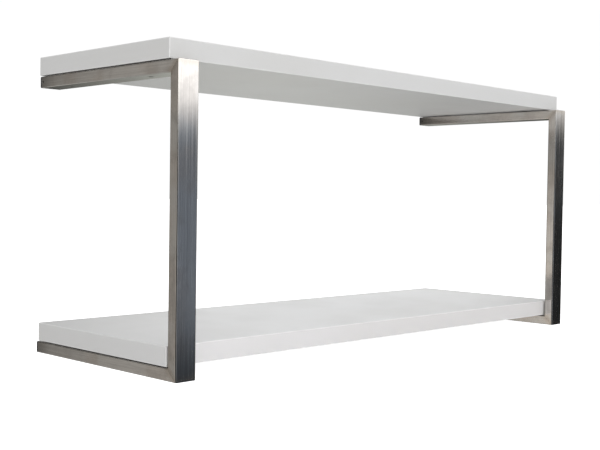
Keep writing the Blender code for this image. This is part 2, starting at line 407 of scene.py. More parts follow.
def times(tree, first, second):
    return maths(tree, "MULTIPLY", first, second)


def plus(tree, first, *others):
    """The sum of two or more values."""
    for other in others:
        first = maths(tree, "ADD", first, other)
    return first


def minus(tree, first, second):
    return maths(tree, "SUBTRACT", first, second)


def vector_maths(tree, operation, first, second=(0.0, 0.0, 0.0)):
    node = add_node(tree, "ShaderNodeVectorMath", {0: first, 1: second}, operation=operation)
    return node.outputs[0]


def ramp(tree, value, start, end, low=0.0, high=1.0):
    """A smooth step from low at start to high at end."""
    node = add_node(
        tree, "ShaderNodeMapRange",
        {"Value": value, "From Min": start, "From Max": end, "To Min": low, "To Max": high},
        interpolation_type="SMOOTHSTEP")
    return node.outputs["Result"]


def blend(tree, factor, first, second, mode="MIX"):
    """Two colours mixed by a factor. The mix node's colours are its sockets 6, 7 and 2."""
    node = tree.nodes.new("ShaderNodeMix")
    node.data_type = "RGBA"
    node.blend_type = mode
    for index, value in ((0, factor), (6, first), (7, second)):
        plain = isinstance(value, (float, bpy.types.NodeSocket))
        feed(tree, node, index, value if plain else (*value[:3], 1.0))
    return node.outputs[2]


def noise(tree, vector, scale, detail=2.0, roughness=0.5):
    node = add_node(
        tree, "ShaderNodeTexNoise",
        {"Vector": vector, "Scale": scale, "Detail": detail, "Roughness": roughness})
    return node.outputs["Fac"]


def new_group(name, inputs, outputs):
    """An empty node group with its sockets, its two ends, and the tree."""
    tree = bpy.data.node_groups.new(name, "ShaderNodeTree")
    for label, kind, default in inputs:
        socket = tree.interface.new_socket(label, in_out="INPUT", socket_type=f"NodeSocket{kind}")
        socket.default_value = default
    for label, kind in outputs:
        tree.interface.new_socket(label, in_out="OUTPUT", socket_type=f"NodeSocket{kind}")
    return tree, tree.nodes.new("NodeGroupInput").outputs, tree.nodes.new("NodeGroupOutput")


def use_group(tree, group, inputs):
    node = tree.nodes.new("ShaderNodeGroup")
    node.node_tree = group
    for key, value in inputs.items():
        feed(tree, node, key, value)
    return node.outputs


def edge_wear_and_highlight_group():
    """Masks the edges of a box-shaped piece, broken up as by handling; it marks rubbing and the
    lacquer's painted edge highlight.
    """
    tree, given, result = new_group(
        "Edge Wear And Highlight",
        (("Vector", "Vector", (0, 0, 0)), ("Centre", "Vector", (0, 0, 0)),
         ("Half Size", "Vector", (1, 1, 1)), ("Width", "Float", 0.002), ("Patches", "Float", 60.0)),
        (("Mask", "Float"),))
    offset = vector_maths(tree, "SUBTRACT", given["Vector"], given["Centre"])
    outside = vector_maths(
        tree, "SUBTRACT", vector_maths(tree, "ABSOLUTE", offset), given["Half Size"])
    parts = add_node(tree, "ShaderNodeSeparateXYZ", {0: outside}).outputs
    low = maths(tree, "MINIMUM", parts["X"], parts["Y"])
    high = maths(tree, "MAXIMUM", parts["X"], parts["Y"])
    second = maths(tree, "MAXIMUM", low, maths(tree, "MINIMUM", high, parts["Z"]))
    patches = noise(tree, given["Vector"], given["Patches"], 3.0, 0.6)
    reach = times(tree, given["Width"], times(tree, patches, -2.0))
    depth = maths(tree, "DIVIDE", second, reach)
    tree.links.new(ramp(tree, depth, 1.0, 0.0), result.inputs["Mask"])
    return tree


def brushed_grain_group():
    """Long scratches along one way: broad streaks, grain and hairlines."""
    tree, given, result = new_group(
        "Brushed Grain",
        (("Vector", "Vector", (0, 0, 0)), ("Stretch", "Vector", (1, 1, 1)),
         ("Streaks", "Float", 210.0), ("Grain", "Float", 1100.0), ("Hairlines", "Float", 4200.0)),
        (("Streak", "Float"), ("Grain", "Float"), ("Height", "Float")))
    along = vector_maths(tree, "MULTIPLY", given["Vector"], given["Stretch"])
    streak = noise(tree, along, given["Streaks"], 3.0, 0.55)
    grain = noise(tree, along, given["Grain"], 3.0, 0.6)
    hair = noise(tree, along, given["Hairlines"], 2.0, 0.6)
    mixed = plus(tree, times(tree, grain, 0.6), times(tree, hair, 0.4))
    height = plus(tree, times(tree, streak, 0.45), times(tree, mixed, 0.55))
    tree.links.new(ramp(tree, streak, 0.30, 0.70), result.inputs["Streak"])
    tree.links.new(ramp(tree, mixed, 0.32, 0.68), result.inputs["Grain"])
    tree.links.new(height, result.inputs["Height"])
    return tree


def weld_group():
    """Masks the dressed welds along the mitres of the frames' corners."""
    tree, given, result = new_group(
        "Corner Weld",
        (("Vector", "Vector", (0, 0, 0)), ("Front", "Float", 0.0), ("Height", "Float", 1.0),
         ("Reach", "Float", 0.015)),
        (("Heat", "Float"), ("Seam", "Float")))
    parts = add_node(tree, "ShaderNodeSeparateXYZ", {0: given["Vector"]}).outputs
    depth = minus(tree, parts["Y"], given["Front"])
    from_top = minus(tree, given["Height"], parts["Z"])
    lower = maths(tree, "ABSOLUTE", minus(tree, depth, parts["Z"]))
    upper = maths(tree, "ABSOLUTE", minus(tree, depth, from_top))
    near = maths(tree, "MINIMUM", lower, upper)
    uneven = noise(tree, given["Vector"], 90.0, 3.0, 0.6)
    reach = times(tree, given["Reach"], plus(tree, uneven, 0.6))
    share = maths(tree, "DIVIDE", near, reach)
    tree.links.new(ramp(tree, share, 1.0, 0.15), result.inputs["Heat"])
    tree.links.new(ramp(tree, near, 0.0010, 0.0002), result.inputs["Seam"])
    return tree


def handling_group():
    """Faint smudges and settled dust, as a drift of roughness and tone."""
    tree, given, result = new_group(
        "Handling",
        (("Vector", "Vector", (0, 0, 0)), ("Smudge", "Float", 14.0), ("Dust", "Float", 900.0)),
        (("Smudge", "Float"), ("Dust", "Float")))
    broad = noise(tree, given["Vector"], given["Smudge"], 4.0, 0.6)
    specks = noise(tree, given["Vector"], given["Dust"], 1.0, 0.4)
    tree.links.new(ramp(tree, broad, 0.42, 0.68), result.inputs["Smudge"])
    tree.links.new(ramp(tree, specks, 0.70, 0.82), result.inputs["Dust"])
    return tree


def start_material(name, metallic):
    """A material with its tree, its shader and its Object coordinates."""
    material = bpy.data.materials.new(name)
    material.use_nodes = True
    tree = material.node_tree
    shader = tree.nodes["Principled BSDF"]
    feed(tree, shader, "Metallic", metallic)
    place = tree.nodes.new("ShaderNodeTexCoord").outputs["Object"]
    return material, tree, shader, place


def finish_bump(tree, shader, height, distance, strength=1.0):
    bump = add_node(
        tree, "ShaderNodeBump", {"Height": height, "Distance": distance, "Strength": strength})
    feed(tree, shader, "Normal", bump.outputs["Normal"])


def shared_groups():
    """The effects that more than one material uses, built once."""
    makers = {
        "edge_mask": ("Edge Wear And Highlight", edge_wear_and_highlight_group),
        "grain": ("Brushed Grain", brushed_grain_group),
        "weld": ("Corner Weld", weld_group),
        "handling": ("Handling", handling_group),
    }
    return {
        key: bpy.data.node_groups.get(name) or maker() for key, (name, maker) in makers.items()
    }


def lacquer_material(name, node):
    """Satin lacquer sprayed on a board: faint orange peel, edges worn to a higher gloss and painted
    lighter as a highlight, a little dust.
    """
    chosen = bpy.context.scene.table.boards
    groups = shared_groups()
    material, tree, shader, place = start_material(name, 0.0)
    handling = use_group(tree, groups["handling"], {"Vector": place, "Smudge": 9.0, "Dust": 700.0})
    edge_mask = use_group(tree, groups["edge_mask"], {
        "Vector": place, "Centre": middle_of(node), "Half Size": size_of(node) / 2,
        "Width": 0.0030, "Patches": 35.0})["Mask"]
    drift = ramp(tree, noise(tree, place, 2.2, 3.0, 0.5), 0.35, 0.65)
    colour = blend(tree, drift, chosen.lacquer, chosen.lacquer_warm)
    dusty = times(tree, handling["Dust"], 0.25)
    colour = blend(tree, dusty, colour, (0.66, 0.65, 0.63))
    # Painted highlight: the eased edges are painted lighter than the lacquer's own colour.
    painted_edge_highlight = times(tree, edge_mask, 0.85)
    colour = blend(tree, painted_edge_highlight, colour, (0.97, 0.97, 0.965))
    feed(tree, shader, "Base Color", colour)
    satin = plus(tree, 0.34, times(tree, handling["Smudge"], 0.07), times(tree, edge_mask, -0.06))
    feed(tree, shader, "Roughness", satin)
    feed(tree, shader, "IOR", 1.5)
    feed(tree, shader, "Coat Weight", 0.18)
    feed(tree, shader, "Coat Roughness", 0.16)
    peel = noise(tree, place, 1.0 / chosen.peel_width, 2.0, 0.5)
    swell = noise(tree, place, 42.0, 2.0, 0.5)
    height = plus(tree, peel, times(tree, swell, 2.5))
    finish_bump(tree, shader, height, 0.000012)
    return material


def brushed_steel_material(name, node, stretch, sawn_end=None):
    """Brushed stainless tube: grain along the tube, welds dressed at the mitres, painted shade at a
    sawn end.
    """
    chosen = bpy.context.scene.table.tubes
    groups = shared_groups()
    material, tree, shader, place = start_material(name, 1.0)
    grain = use_group(tree, groups["grain"], {"Vector": place, "Stretch": stretch})
    weld = use_group(tree, groups["weld"], {
        "Vector": place, "Front": FRONT_Y, "Height": FRAME_HEIGHT, "Reach": chosen.weld_reach})
    edge_mask = use_group(tree, groups["edge_mask"], {
        "Vector": place, "Centre": middle_of(node), "Half Size": size_of(node) / 2,
        "Width": 0.0022, "Patches": 80.0})["Mask"]
    handling = use_group(tree, groups["handling"], {"Vector": place, "Smudge": 22.0})
    mixed = plus(tree, times(tree, grain["Grain"], 0.55), times(tree, grain["Streak"], 0.45))
    colour = blend(tree, mixed, chosen.steel_dark, chosen.steel_light)
    drift = ramp(tree, noise(tree, place, 11.0, 2.0, 0.5), 0.40, 0.62)
    toned = blend(tree, 1.0, colour, chosen.steel_drift, "MULTIPLY")
    colour = blend(tree, drift, colour, toned)
    dull = times(tree, handling["Smudge"], 0.20)
    colour = blend(tree, dull, colour, (0.24, 0.235, 0.225))
    heat = times(tree, weld["Heat"], 0.40)
    colour = blend(tree, heat, colour, chosen.heat_tint)
    seam = times(tree, weld["Seam"], 0.35)
    colour = blend(tree, seam, colour, (0.30, 0.28, 0.26))
    # Painted shade: the steel is darkened towards an arm's sawn end.
    if sawn_end is not None:
        inwards = add_node(tree, "ShaderNodeSeparateXYZ", {0: place}).outputs["Y"]
        uneven = times(tree, handling["Smudge"], 0.012)
        from_end = plus(tree, minus(tree, sawn_end, inwards), uneven)
        painted_shade = ramp(tree, from_end, chosen.end_shade, 0.0, 0.0, 0.45)
        colour = blend(tree, painted_shade, colour, (0.10, 0.095, 0.085))
    bright = times(tree, edge_mask, 0.30)
    colour = blend(tree, bright, colour, (0.80, 0.785, 0.76))
    feed(tree, shader, "Base Color", colour)
    rough = plus(
        tree, 0.095, times(tree, grain["Streak"], 0.05), times(tree, handling["Smudge"], 0.03),
        times(tree, weld["Heat"], 0.05), times(tree, edge_mask, -0.03))
    feed(tree, shader, "Roughness", rough)
    feed(tree, shader, "Anisotropic", 0.7)
    tangent = add_node(tree, "ShaderNodeTangent", direction_type="UV_MAP", uv_map="tube")
    feed(tree, shader, "Tangent", tangent.outputs["Tangent"])
    finish_bump(tree, shader, grain["Height"], 0.000006)
    return material


def cap_material():
    """Moulded black plastic with a fine spark-eroded texture."""
    chosen = bpy.context.scene.table.caps
    groups = shared_groups()
    material, tree, shader, place = start_material("moulded_black_plastic", 0.0)
    handling = use_group(
        tree, groups["handling"], {"Vector": place, "Smudge": 60.0, "Dust": 1400.0})
    cloud = ramp(tree, noise(tree, place, 160.0, 3.0, 0.6), 0.3, 0.7)
    colour = blend(tree, cloud, chosen.plastic, (0.040, 0.040, 0.041))
    dusty = times(tree, handling["Dust"], 0.5)
    colour = blend(tree, dusty, colour, (0.14, 0.135, 0.13))
    feed(tree, shader, "Base Color", colour)
    rough = plus(tree, 0.46, times(tree, handling["Smudge"], 0.12))
    feed(tree, shader, "Roughness", rough)
    finish_bump(tree, shader, noise(tree, place, 5200.0, 2.0, 0.6), 0.00004)
    return material


def fixing_material(name, colour, shade, metallic, rough, texture, depth):
    """A small part's finish: mottled tone, uneven gloss and fine tool marks."""
    groups = shared_groups()
    material, tree, shader, place = start_material(name, metallic)
    handling = use_group(tree, groups["handling"], {"Vector": place, "Smudge": 180.0})
    mottle = ramp(tree, noise(tree, place, 900.0, 3.0, 0.6), 0.3, 0.7)
    tone = blend(tree, mottle, colour, shade)
    feed(tree, shader, "Base Color", tone)
    gloss = plus(tree, rough, times(tree, handling["Smudge"], 0.12))
    feed(tree, shader, "Roughness", gloss)
    finish_bump(tree, shader, noise(tree, place, texture, 2.0, 0.6), depth)
    return material


# ---------------------------------------------------------------------------------------------
# Boards
# ---------------------------------------------------------------------------------------------

class TABLE_OT_boards(bpy.types.Operator):
    """Make the top and the shelf, with eased edges and a blind hole for each insert"""

    bl_idname = "table.boards"
    bl_label = "Make Boards"

    def execute(self, context):
        for level, node in (("top", "top_board"), ("shelf", "shelf_board")):
            self.make_board(context.scene.table.boards, level, node)
        return {"FINISHED"}

    def make_board(self, chosen, level, node):
        size = size_of(node)
        centre = middle_of(node)
        shape = bmesh.new()
        bmesh.ops.create_cube(shape, size=1.0)
        bmesh.ops.scale(shape, vec=size, verts=shape.verts)
        bmesh.ops.translate(shape, vec=centre, verts=shape.verts)
        bmesh.ops.bevel(
            shape, geom=shape.edges, offset=chosen.edge_radius, offset_type="OFFSET",
            segments=chosen.edge_steps, profile=0.5, affect="EDGES")
        underside = centre.z - size.z / 2
        cutters = []
        for side in SIDES:
            for end in ENDS:
                cutters.append(self.insert_hole(chosen, f"{side}_{level}_{end}_insert", underside))
        mesh = cut_holes(f"{node}_lacquered", mesh_of(node, shape), cutters)
        lacquer = lacquer_material(f"{node}_lacquer", node)
        put(f"{node}_lacquered", mesh, lacquer, (node,))

    def insert_hole(self, chosen, insert, underside):
        """A stepped bar: the hole, its chamfer, and a reach out of the underside."""
        low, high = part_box(insert)
        radius = (high.x - low.x) / 2 + PIECE_GAP
        mouth = radius + chosen.hole_chamfer
        bottom_room = 0.002
        reach = 0.005
        profile = (
            (mouth, underside - reach), (mouth, underside),
            (radius, underside + chosen.hole_chamfer), (radius, high.z + bottom_room))
        shape = turned(profile, INSERT_HOLE_STEPS)
        middle = (low + high) / 2
        bmesh.ops.translate(shape, vec=(middle.x, middle.y, 0.0), verts=shape.verts)
        return shape


# ---------------------------------------------------------------------------------------------
# Steel frames
# ---------------------------------------------------------------------------------------------

def tube_mesh(name, chosen, length, ends, lay):
    """A hollow tube with mitred or sawn ends. Lay turns (across, inwards, along) into a place.

    Each end is "mitre" or "sawn". The seam's half width is taken off a mitre, and every rim has a
    small chamfer, so that the joint shows as a hairline.
    """
    outer = rounded_rectangle(TUBE_WIDTH, TUBE_DEPTH, chosen.corner_radius, chosen.corner_steps)
    inner = rounded_rectangle(
        TUBE_WIDTH - 2 * chosen.wall, TUBE_DEPTH - 2 * chosen.wall,
        chosen.corner_radius - chosen.wall, chosen.corner_steps)
    ease = chosen.deburr
    eased = rounded_rectangle(
        TUBE_WIDTH - 2 * ease, TUBE_DEPTH - 2 * ease,
        chosen.corner_radius - ease, chosen.corner_steps)

    def ring(outline, at_far_end, inset):
        points = []
        for point in outline:
            inwards = point.y + TUBE_DEPTH / 2
            slant = inset
            if ends[at_far_end] == "mitre":
                slant += inwards + chosen.seam_width / 2 * math.sqrt(2)
            along = length - slant if at_far_end else slant
            points.append(lay(point.x, inwards, along))
        return points

    # Only a sawn end gets a chamfer wide enough to see; a mitre keeps a hairline one.
    ease_in = [ease if end == "sawn" else ease / 5 for end in ends]
    shape = bmesh.new()
    loft(shape, (
        ring(eased, 0, 0.0), ring(outer, 0, ease_in[0]),
        ring(outer, 1, ease_in[1]), ring(eased, 1, 0.0),
        ring(inner, 1, 0.0), ring(inner, 0, 0.0),
    ), closed=True)
    return mesh_of(name, shape, TUBE_SMOOTH_ANGLE)


def add_tube_map(mesh, lay_out):
    """A UV map with U round the tube and V along it, which sets the way of the brushed grain."""
    layer = mesh.uv_layers.new(name="tube")
    for polygon in mesh.polygons:
        for loop in polygon.loop_indices:
            place = mesh.vertices[mesh.loops[loop].vertex_index].co
            layer.data[loop].uv = lay_out(place, polygon.normal)


def round_hole(chosen, centre, radius, faces, axis="Z"):
    """A cutter along an axis with a small flare at each given outer face."""
    low, high = faces
    ease = chosen.deburr
    reach = 0.003
    profile = [(radius + ease, low - reach), (radius + ease, low), (radius, low + ease)]
    profile += [(radius, high - ease), (radius + ease, high), (radius + ease, high + reach)]
    shape = turned(profile, HOLE_STEPS)
    if axis == "X":
        lay_along_x(shape)
    bmesh.ops.translate(shape, vec=centre, verts=shape.verts)
    return shape


class TABLE_OT_posts(bpy.types.Operator):
    """Make the two front posts, mitred at both ends"""

    bl_idname = "table.posts"
    bl_label = "Make Posts"

    def execute(self, context):
        chosen = context.scene.table.tubes
        for side in SIDES:
            node = f"{side}_post"
            middle_x = middle_of(node).x

            def lay(across, inwards, along, middle_x=middle_x):
                return (middle_x + across, FRONT_Y + inwards, along)

            def lay_out(place, normal):
                across = place.y if abs(normal.x) > abs(normal.y) else place.x
                return (across, place.z)

            mesh = tube_mesh(node, chosen, FRAME_HEIGHT, ("mitre", "mitre"), lay)
            add_tube_map(mesh, lay_out)
            steel = brushed_steel_material(f"{side}_post_steel", node, (1.0, 1.0, 0.012))
            put(f"{node}_brushed", mesh, steel, (node,))
        return {"FINISHED"}


class TABLE_OT_arms(bpy.types.Operator):
    """Make the four arms, with their screw holes, access holes and cross holes"""

    bl_idname = "table.arms"
    bl_label = "Make Arms"

    def execute(self, context):
        chosen = context.scene.table.tubes
        for side in SIDES:
            for level in LEVELS:
                self.make_arm(chosen, side, level)
        return {"FINISHED"}

    def make_arm(self, chosen, side, level):
        node = f"{side}_{level}_arm"
        low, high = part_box(node)
        middle_x = (low.x + high.x) / 2

        def lay(across, inwards, along):
            height = high.z - inwards if level == "top" else low.z + inwards
            return (middle_x + across, FRONT_Y + along, height)

        def lay_out(place, normal):
            across = place.z if abs(normal.x) > abs(normal.z) else place.x
            return (across, place.y)

        blank = tube_mesh(node, chosen, high.y - FRONT_Y, ("mitre", "sawn"), lay)
        cutters = []
        for end in ENDS:
            cutters += self.screw_holes(chosen, f"{side}_{level}_{end}_screw", low, high)
        if level == "top":
            centre = Vector((middle_x, high.y - CROSS_HOLE_INSET, (low.z + high.z) / 2))
            faces = (low.x - middle_x, high.x - middle_x)
            cutters.append(round_hole(chosen, centre, CROSS_HOLE_RADIUS, faces, "X"))
        mesh = cut_holes(f"{node}_brushed", blank, cutters, TUBE_SMOOTH_ANGLE)
        add_tube_map(mesh, lay_out)
        steel = brushed_steel_material(f"{node}_steel", node, (1.0, 0.012, 1.0), high.y)
        put(f"{node}_brushed", mesh, steel, (node,))

    def screw_holes(self, chosen, screw, low, high):
        """The screw's hole through the upper wall, and the head's through the lower one."""
        head_low, head_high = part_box(screw)
        middle = (head_low + head_high) / 2
        head_radius = (head_high.x - head_low.x) / 2
        play = 0.00025
        bearing = 0.0036
        centre = Vector((middle.x, middle.y, 0.0))
        access = round_hole(chosen, centre, head_radius + play, (low.z, low.z + chosen.wall))
        through = round_hole(chosen, centre, bearing, (high.z - chosen.wall, high.z))
        return [access, through]


# ---------------------------------------------------------------------------------------------
# End caps
# ---------------------------------------------------------------------------------------------

class TABLE_OT_end_caps(bpy.types.Operator):
    """Make the moulded caps in the arms' open ends, with a rounded flange and a ribbed plug"""

    bl_idname = "table.end_caps"
    bl_label = "Make End Caps"

    def execute(self, context):
        chosen = context.scene.table.caps
        plastic = cap_material()
        for side in SIDES:
            for level in LEVELS:
                self.make_cap(chosen, context.scene.table.tubes, side, level, plastic)
        return {"FINISHED"}

    def make_cap(self, chosen, tubes, side, level, plastic):
        node = f"{side}_{level}_end_cap"
        low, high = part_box(node)
        centre = (low + high) / 2
        arm_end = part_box(f"{side}_{level}_arm")[1].y
        face_y = arm_end + PIECE_GAP
        width = high.x - low.x
        depth = high.z - low.z
        fit = tubes.wall + PIECE_GAP
        plug_radius = tubes.corner_radius - tubes.wall
        steps = tubes.corner_steps

        def ring(inset, radius, place_y):
            outline = rounded_rectangle(width - 2 * inset, depth - 2 * inset, radius, steps)
            return [(centre.x + point.x, place_y, centre.z + point.y) for point in outline]

        hollow = fit + chosen.plug_wall
        rings = [ring(hollow, plug_radius / 2, face_y), ring(hollow, plug_radius / 2, low.y)]
        grip = 0.00035
        rib_pitch = (face_y - low.y) / max(chosen.rib_count, 1)
        # A rib slopes up to its crest and drops back, all in shares of the pitch.
        rib_shape = ((0.0, grip), (0.35, 0.0), (0.60, 0.0), (0.65, grip))
        for rib in range(chosen.rib_count):
            start = low.y + rib * rib_pitch
            for share, drop in rib_shape:
                rings.append(ring(fit + drop, plug_radius, start + rib_pitch * share))
        rings.append(ring(fit + grip, plug_radius, face_y))
        flange_ease = 0.0002
        rings.append(ring(flange_ease, tubes.corner_radius, face_y))
        rings.append(ring(0.0, tubes.corner_radius, face_y + flange_ease))
        edge = chosen.edge_radius
        for step in range(chosen.edge_steps + 1):
            angle = math.radians(90) * step / chosen.edge_steps
            inset = edge * (1 - math.cos(angle))
            radius = tubes.corner_radius - inset / 2
            rings.append(ring(inset, radius, high.y - edge + edge * math.sin(angle)))
        shape = bmesh.new()
        loft(shape, rings, closed=False)
        mesh = mesh_of(node, shape)
        if level == "top":
            cross = turned(((CROSS_HOLE_RADIUS, -width), (CROSS_HOLE_RADIUS, width)), HOLE_STEPS)
            lay_along_x(cross)
            place = (centre.x, arm_end - CROSS_HOLE_INSET, centre.z)
            bmesh.ops.translate(cross, vec=place, verts=cross.verts)
            mesh = cut_holes(f"{node}_moulded", mesh, [cross])
        put(f"{node}_moulded", mesh, plastic, (node,))


# ---------------------------------------------------------------------------------------------
# Fixings
# ---------------------------------------------------------------------------------------------

def fixing_tree():
    """Geometry nodes that set a fixing out under both boards, at the arms' screw places."""
    tree = bpy.data.node_groups.new("Set Out Fixings", "GeometryNodeTree")
    inputs = (
        ("Part", "Object", None), ("Finish", "Material", None),
        ("Spread Along", "Float", 1.0), ("Spread Across", "Float", 1.0),
        ("Middle", "Vector", (0.0, 0.0, 0.0)), ("Rise To Top", "Float", 1.0),
        ("Turn Seed", "Int", 0),
    )
    for label, kind, default in inputs:
        socket = tree.interface.new_socket(label, in_out="INPUT", socket_type=f"NodeSocket{kind}")
        if default is not None:
            socket.default_value = default
    tree.interface.new_socket("Geometry", in_out="OUTPUT", socket_type="NodeSocketGeometry")
    given = tree.nodes.new("NodeGroupInput").outputs
    result = tree.nodes.new("NodeGroupOutput")

    grid = add_node(tree, "GeometryNodeMeshGrid", {
        "Size X": given["Spread Along"], "Size Y": given["Spread Across"],
        "Vertices X": 2, "Vertices Y": 2})
    shelf = add_node(tree, "GeometryNodeTransform", {
        "Geometry": grid.outputs["Mesh"], "Translation": given["Middle"]})
    rise = add_node(tree, "ShaderNodeCombineXYZ", {"Z": given["Rise To Top"]})
    top = add_node(tree, "GeometryNodeTransform", {
        "Geometry": shelf.outputs["Geometry"], "Translation": rise.outputs["Vector"]})
    both = tree.nodes.new("GeometryNodeJoinGeometry")
    tree.links.new(shelf.outputs["Geometry"], both.inputs["Geometry"])
    tree.links.new(top.outputs["Geometry"], both.inputs["Geometry"])
    part = add_node(tree, "GeometryNodeObjectInfo", {"Object": given["Part"]})
    full_turn = {3: math.tau, "Seed": given["Turn Seed"]}
    turn = add_node(tree, "FunctionNodeRandomValue", full_turn, data_type="FLOAT")
    spin = add_node(tree, "ShaderNodeCombineXYZ", {"Z": turn.outputs[1]})
    placed = add_node(tree, "GeometryNodeInstanceOnPoints", {
        "Points": both.outputs["Geometry"], "Instance": part.outputs["Geometry"],
        "Rotation": spin.outputs["Vector"]})
    real = add_node(
        tree, "GeometryNodeRealizeInstances", {"Geometry": placed.outputs["Instances"]})
    finished = add_node(tree, "GeometryNodeSetMaterial", {
        "Geometry": real.outputs["Geometry"], "Material": given["Finish"]})
    tree.links.new(finished.outputs["Geometry"], result.inputs["Geometry"])
    return tree


def set_out(kind, name, shape, foot, finish, seed):
    """Sets out eight of a part. Foot is the height of its origin over the low of its box."""
    part = new_object(f"{kind}_pattern", mesh_of(f"{kind}_pattern", shape, FIXING_SMOOTH_ANGLE))
    corner = middle_of(f"left_shelf_front_{kind}")
    far = middle_of(f"right_shelf_back_{kind}")
    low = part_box(f"left_shelf_front_{kind}")[0].z
    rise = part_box(f"left_top_front_{kind}")[0].z - low
    carrier = new_object(name, bpy.data.meshes.new(name))
    tree = bpy.data.node_groups.get("Set Out Fixings") or fixing_tree()
    modifier = carrier.modifiers.new("set_out", "NODES")
    modifier.node_group = tree
    values = {
        "Part": part, "Finish": finish,
        "Spread Along": far.x - corner.x, "Spread Across": far.y - corner.y,
        "Middle": ((far.x + corner.x) / 2, (far.y + corner.y) / 2, low + foot),
        "Rise To Top": rise, "Turn Seed": seed,
    }
    for item in tree.interface.items_tree:
        if item.item_type == "SOCKET" and item.in_out == "INPUT":
            modifier[item.identifier] = values[item.name]
    mesh = evaluated_mesh(carrier, name)
    for spare in (carrier, part):
        bpy.data.objects.remove(spare)
    if not mesh.polygons:
        raise RuntimeError(f"no {kind} was set out")
    nodes = [f"{side}_{level}_{end}_{kind}" for side in SIDES for level in LEVELS for end in ENDS]
    put(name, mesh, finish, nodes)


class TABLE_OT_screws(bpy.types.Operator):
    """Make the button-head screws, with a hexagon socket and a rolled thread"""

    bl_idname = "table.screws"
    bl_label = "Make Screws"

    def execute(self, context):
        chosen = context.scene.table.fixings
        steel = fixing_material(
            "screw_steel", chosen.zinc, (0.42, 0.42, 0.43), 1.0, 0.26, 2600.0, 0.00002)
        shape, head_height = self.screw(chosen)
        set_out("screw", "board_screws", shape, head_height, steel, 11)
        return {"FINISHED"}

    def screw(self, chosen):
        """A screw pointing up, with the underside of its head at z = 0."""
        size = size_of("left_top_front_screw")
        head_radius = size.x / 2
        shank = 0.003
        head_height = 0.0033
        length = size.z - head_height
        sector = math.radians(60)
        socket = chosen.socket_width / 2 / math.cos(sector / 2)
        floor = chosen.socket_depth - head_height
        depth = chosen.thread_depth
        pitch = chosen.thread_pitch

        def squeeze(radius, height, turn):
            if height > 0.0 and radius >= shank - 1e-6:
                phase = (height / pitch - turn / math.tau) % 1.0
                fade = min(1.0, max(0.0, (length - height) / pitch), height / pitch)
                return radius - depth * fade * abs(2 * phase - 1)
            if height < floor + 1e-6 or radius <= socket:
                if radius <= socket + 1e-6:
                    off_flat = turn % sector - sector / 2
                    return radius * math.cos(sector / 2) / math.cos(off_flat)
            return radius

        slices_per_turn = 8
        slices = round(length / pitch) * slices_per_turn
        profile = [(shank - depth, length)]
        for index in range(slices, -1, -1):
            profile.append((shank, length * index / slices))
        dome = [math.radians(angle) for angle in (0, 8, 16, 25, 34, 42, 50)]
        for angle in dome:
            drop = head_height * math.sin(angle) / math.sin(dome[-1])
            profile.append((head_radius * math.cos(angle), -drop))
        lip_width, lip_depth, drill_point = 0.00015, 0.00012, 0.0006
        profile += [(socket + lip_width, -head_height), (socket, -head_height + lip_depth)]
        profile += [(socket, floor), (socket * 0.5, floor + drill_point)]
        return turned(profile, chosen.round_steps, squeeze=squeeze), head_height


class TABLE_OT_inserts(bpy.types.Operator):
    """Make the knurled brass inserts in the boards"""

    bl_idname = "table.inserts"
    bl_label = "Make Inserts"

    def execute(self, context):
        chosen = context.scene.table.fixings
        brass = fixing_material(
            "insert_brass", chosen.brass, (0.60, 0.44, 0.21), 1.0, 0.28, 3400.0, 0.00002)
        size = size_of("left_top_front_insert")
        outer = size.x / 2
        bore = 0.0033
        height = size.z
        ease = 0.0004
        groove = 0.0005
        tooth = 0.00028
        slope = 0.02
        # Two knurled bands, in shares of the height
        bands = ((0.14, 0.44), (0.56, 0.86))

        def squeeze(radius, place, turn):
            share = place / height
            knurled = any(start <= share <= end for start, end in bands)
            if radius < outer - 1e-6 or not knurled:
                return radius
            phase = (turn * chosen.knurl_count / math.tau) % 1.0
            return radius - tooth * abs(2 * phase - 1)

        profile = [(outer - ease, 0.0), (outer, ease)]
        for start, end in bands:
            profile += [(outer - groove, height * (start - slope)), (outer, height * start)]
            profile += [(outer, height * end), (outer - groove, height * (end + slope))]
        profile += [(outer, height - ease), (outer - ease, height)]
        profile += [(bore + ease, height), (bore, height - ease), (bore, ease), (bore + ease, 0.0)]
        steps_per_tooth = 4
        steps = chosen.knurl_count * steps_per_tooth
        shape = turned(profile, steps, closed=True, squeeze=squeeze)
        set_out("insert", "threaded_inserts", shape, 0.0, brass, 5)
        return {"FINISHED"}


class TABLE_OT_spacers(bpy.types.Operator):
    """Make the rubber washers that hold the boards off the arms"""

    bl_idname = "table.spacers"
    bl_label = "Make Spacers"

    def execute(self, context):
        chosen = context.scene.table.fixings
        rubber = fixing_material(
            "spacer_rubber", chosen.rubber, (0.035, 0.034, 0.034), 0.0, 0.66, 3000.0, 0.00005)
        size = size_of("left_top_front_spacer")
        outer = size.x / 2
        bore = 0.0036
        ease = size.z * 0.22
        profile = (
            (outer - ease, 0.0), (outer - ease * 0.3, ease * 0.3), (outer, ease),
            (outer, size.z - ease), (outer - ease * 0.3, size.z - ease * 0.3),
            (outer - ease, size.z), (bore + ease, size.z), (bore, size.z - ease),
            (bore, ease), (bore + ease, 0.0))
        shape = turned(profile, chosen.round_steps, closed=True)
        set_out("spacer", "spacer_washers", shape, 0.0, rubber, 3)
        return {"FINISHED"}


# ---------------------------------------------------------------------------------------------
# Studio
# ---------------------------------------------------------------------------------------------

def soft_light(name, place, target, size, power, spread=180.0, colour=WHITE):
    """A rectangular soft light that looks at a target and isn't seen in reflections."""
    lamp = bpy.data.lights.new(name, "AREA")
    lamp.shape = "RECTANGLE"
    lamp.size, lamp.size_y = size
    lamp.energy = power
    lamp.spread = math.radians(spread)
    lamp.color = colour
    thing = bpy.data.objects.new(name, lamp)
    bpy.context.scene.collection.objects.link(thing)
    aim = Vector(target) - Vector(place)
    turned_to = aim.to_track_quat("-Z", "Y").to_matrix().to_4x4()
    thing.matrix_world = Matrix.Translation(place) @ turned_to
    thing.visible_glossy = False
    thing.visible_camera = False


